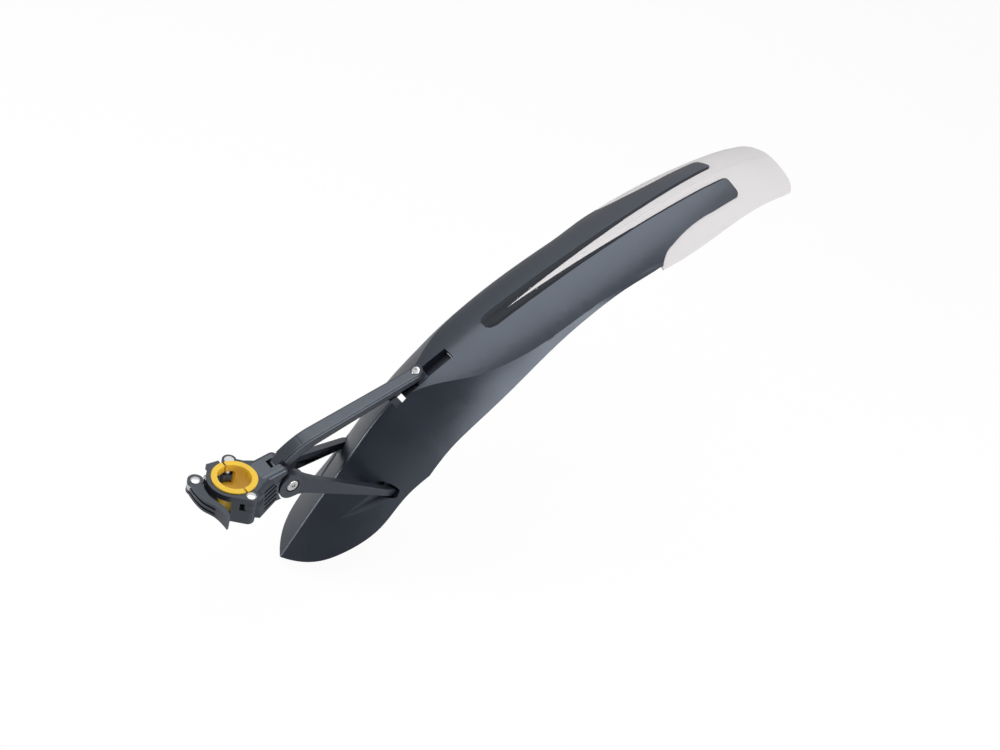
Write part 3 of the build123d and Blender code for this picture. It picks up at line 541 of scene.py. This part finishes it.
# a round-headed screw with a lobed socket
def headScrew(pieceName, look):
    axis = Vector(look["axis"]).normalized()
    top, radius, length = rodEnd(look["node"], axis)
    depth = look["headDepth"]
    screw = addRod(pieceName, top - axis * depth / 2, axis, radius, depth, look["sides"])
    editPicked(screw, "faces", lambda face: face.normal.dot(axis) < -facesAlong)
    bpy.ops.mesh.inset(thickness=radius - look["shank"])
    bpy.ops.mesh.extrude_region_move(TRANSFORM_OT_translate={"value": axis * (depth - length)})
    leaveEdit()
    roundEdges(screw, look["edge"], look["edgeTurn"], look["edgeRounds"])

    cutter = addRod("socketCutter", top, axis, look["socket"], 2 * look["socketDepth"], 2 * look["lobes"])
    across = axis.orthogonal().normalized()
    beside = axis.cross(across)

    def angleOf(vertex):
        arm = vertex.co - top
        return math.atan2(beside.dot(arm), across.dot(arm))
    ring = sorted((angleOf(vertex), vertex.index) for vertex in cutter.data.vertices)
    # the ring holds the two ends of each long edge in turn, and every other edge is drawn in
    waists = {index for place, (angle, index) in enumerate(ring) if place % 4 < 2}
    editPicked(cutter, "points", lambda vertex: vertex.index in waists)
    bpy.ops.transform.resize(value=(look["waist"],) * 3, center_override=top)
    leaveEdit()
    applyModifier(screw, "BOOLEAN", {"operation": "DIFFERENCE", "object": cutter, "solver": "EXACT"})
    bpy.data.objects.remove(cutter)
    smoothByAngle(screw, look["smooth"])
    dress(screw, look["node"])


strutScrew = {
    "sides": 64, "headDepth": 0.0024, "shank": 0.0025, "edge": 0.0009, "edgeTurn": 40, "edgeRounds": 4,
    "socket": 0.0030, "socketDepth": 0.0016, "lobes": 6, "waist": 0.66, "smooth": 30,
}
headScrew("strutScrewLeft", {**strutScrew, "node": "strut_screw_left", "axis": (0, -1, 0)})
headScrew("strutScrewRight", {**strutScrew, "node": "strut_screw_right", "axis": (0, 1, 0)})
slideWay = next(joint["axis"] for joint in frame["joints"] if joint["name"] == "guard_slide")
slideScrew = {
    "node": "slide_screw", "axis": (-slideWay[2], 0, slideWay[0]),
    "sides": 64, "headDepth": 0.0014, "shank": 0.002, "edge": 0.0005, "edgeTurn": 40, "edgeRounds": 4,
    "socket": 0.0021, "socketDepth": 0.0010, "lobes": 6, "waist": 0.70, "smooth": 30,
}
headScrew("slideScrew", slideScrew)
print("pins and screws turned")

# the floor: pale, white to the eye apart from a share that keeps the shadow
floorLook = {
    "drop": 0.006, "size": 12.0, "paper": 0.62, "glow": 1.05, "shadowShare": 0.10, "glossShare": 0.25,
}
floorLevel = min(corner[2] for corner in cadBox) - floorLook["drop"]
bpy.ops.object.select_all(action="DESELECT")
bpy.ops.mesh.primitive_plane_add(size=floorLook["size"], location=(0, 0, floorLevel))
floor = bpy.context.object
floor.name = "floor"
floorPaint = bpy.data.materials.new("paleFloor")
tree = Tree(floorPaint)
lightPath = tree.add("ShaderNodeLightPath")
seen = lightPath.other("Is Camera Ray") | lightPath.other("Is Transmission Ray")
mirrored = lightPath.other("Is Glossy Ray") * floorLook["glossShare"]
shown = seen * (1 - floorLook["shadowShare"]) | mirrored
paper = tree.add("ShaderNodeBsdfDiffuse", None, {"Color": grey(floorLook["paper"])})
glow = tree.add("ShaderNodeEmission", None, {"Color": grey(1.0), "Strength": floorLook["glow"]})
mixed = tree.add("ShaderNodeMixShader", None, {0: shown, 1: paper, 2: glow})
tree.add("ShaderNodeOutputMaterial", None, {"Surface": mixed})
floor.data.materials.append(floorPaint)

# the studio: white to the eye, and in reflections bright above and behind and dim on the camera's side
studioLook = {
    "bright": (0.35, 0.15, 0.90), "low": -0.10, "high": 0.95, "dim": 0.04, "full": 1.0, "fill": 0.22,
}
world = bpy.data.worlds.new("studio")
scene.world = world
tree = Tree(world)
lightPath = tree.add("ShaderNodeLightPath")
way = tree.add("ShaderNodeTexCoord", output="Generated")  # the direction that is looked along
aim = Vector(studioLook["bright"]).normalized()
lean = tree.add("ShaderNodeVectorMath", {"operation": "DOT_PRODUCT"}, {0: way, 1: aim}, "Value")
glossTone = spread(
    tree, lean, studioLook["low"], studioLook["high"], studioLook["dim"], studioLook["full"],
)
soft = tree.add("ShaderNodeBackground", None, {"Color": grey(1.0), "Strength": studioLook["fill"]})
gloss = tree.add("ShaderNodeBackground", None, {"Color": grey(1.0), "Strength": glossTone})
white = tree.add("ShaderNodeBackground", None, {"Color": grey(1.0), "Strength": 1.0})
lit = tree.add("ShaderNodeMixShader", None, {0: lightPath.other("Is Glossy Ray"), 1: soft, 2: gloss})
seen = lightPath.other("Is Camera Ray") | lightPath.other("Is Transmission Ray")
mixed = tree.add("ShaderNodeMixShader", None, {0: seen, 1: lit, 2: white})
tree.add("ShaderNodeOutputWorld", None, {"Surface": mixed})


def softBox(name, look):
    light = bpy.data.lights.new(name, "AREA")
    light.shape = "RECTANGLE"
    light.size, light.size_y = look["size"]
    light.energy = look["power"]
    box = bpy.data.objects.new(name, light)
    scene.collection.objects.link(box)
    aim = (Vector(look["target"]) - Vector(look["place"])).normalized()
    turn = aim.to_track_quat("-Z", "Y").to_matrix().to_4x4()
    box.matrix_world = Matrix.Translation(look["place"]) @ turn
    box.visible_camera = False


topBox = {"place": (0.05, 0.10, 1.55), "target": (0.2, 0, 0.05), "size": (2.0, 1.9), "power": 22}
softBox("topBox", topBox)
sideBox = {"place": (0.60, -1.5, 0.15), "target": (0.3, 0, 0.1), "size": (1.5, 0.8), "power": 18}
softBox("sideBox", sideBox)
ridgeBox = {"place": (-1.20, 0.80, 0.12), "target": (0.1, 0, 0.0), "size": (0.5, 0.5), "power": 9}
softBox("ridgeBox", ridgeBox)

cameraLook = {
    "place": (-0.4725, -0.6006, 0.7175), "right": (0.7398, -0.6197, 0.2622), "up": (0.2248, 0.5949, 0.7718),
    "back": (-0.6342, -0.5120, 0.5794), "lens": 46.8, "sensor": 36.0, "nearest": 0.01,
}
camera = bpy.data.cameras.new("photoCamera")
camera.lens = cameraLook["lens"]
camera.sensor_width = cameraLook["sensor"]
camera.sensor_fit = "HORIZONTAL"
camera.clip_start = cameraLook["nearest"]
cameraBody = bpy.data.objects.new("photoCamera", camera)
scene.collection.objects.link(cameraBody)
axes = Matrix([cameraLook["right"], cameraLook["up"], cameraLook["back"]]).transposed()
cameraBody.matrix_world = Matrix.Translation(cameraLook["place"]) @ axes.to_4x4()
scene.camera = cameraBody
print("studio set")
